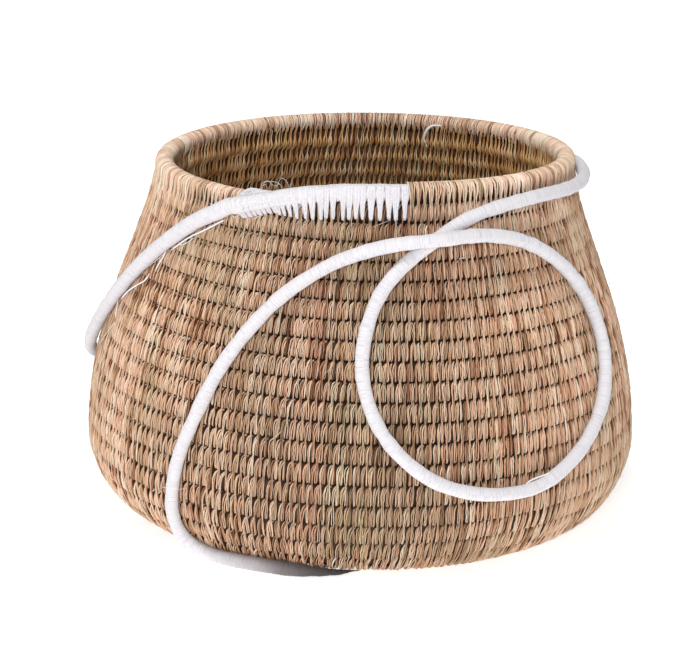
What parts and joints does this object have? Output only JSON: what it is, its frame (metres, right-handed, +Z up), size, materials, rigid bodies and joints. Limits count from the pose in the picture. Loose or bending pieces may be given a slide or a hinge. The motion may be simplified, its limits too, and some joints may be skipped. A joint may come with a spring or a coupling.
{
  "type": "coiled pot basket",
  "caption": "Round-bellied coiled grass basket shaped like a cooking pot, with a white cotton-wrapped cord that leaves the rim and loops over the wall.",
  "frame": {"origin": "middle of the flat underside, on the surface that the basket stands on", "axes": "+Z up through the mouth, -Y towards the front, where the open loop of the cord is, and +X to the right seen from the front"},
  "size_m": [0.4045, 0.4038, 0.2599],
  "materials": {
    "grass": "dry stitched grass, matt with a faint straw sheen",
    "cotton": "white cotton thread wound closely, matt"
  },
  "bodies": {
    "root": {"start_knot": "grass", "base_coil_01": "grass", "base_coil_02": "grass", "base_coil_03": "grass", "base_coil_04": "grass", "base_coil_05": "grass", "base_coil_06": "grass", "base_coil_07": "grass", "base_coil_08": "grass", "base_coil_09": "grass", "base_coil_10": "grass", "wall_coil_01": "grass", "wall_coil_02": "grass", "wall_coil_03": "grass", "wall_coil_04": "grass", "wall_coil_05": "grass", "wall_coil_06": "grass", "wall_coil_07": "grass", "wall_coil_08": "grass", "wall_coil_09": "grass", "wall_coil_10": "grass", "wall_coil_11": "grass", "wall_coil_12": "grass", "wall_coil_13": "grass", "wall_coil_14": "grass", "wall_coil_15": "grass", "wall_coil_16": "grass", "wall_coil_17": "grass", "wall_coil_18": "grass", "wall_coil_19": "grass", "wall_coil_20": "grass", "rim_coil": "grass", "white_rim_coil": "cotton", "white_cord": "cotton"}
  },
  "joints": []
}
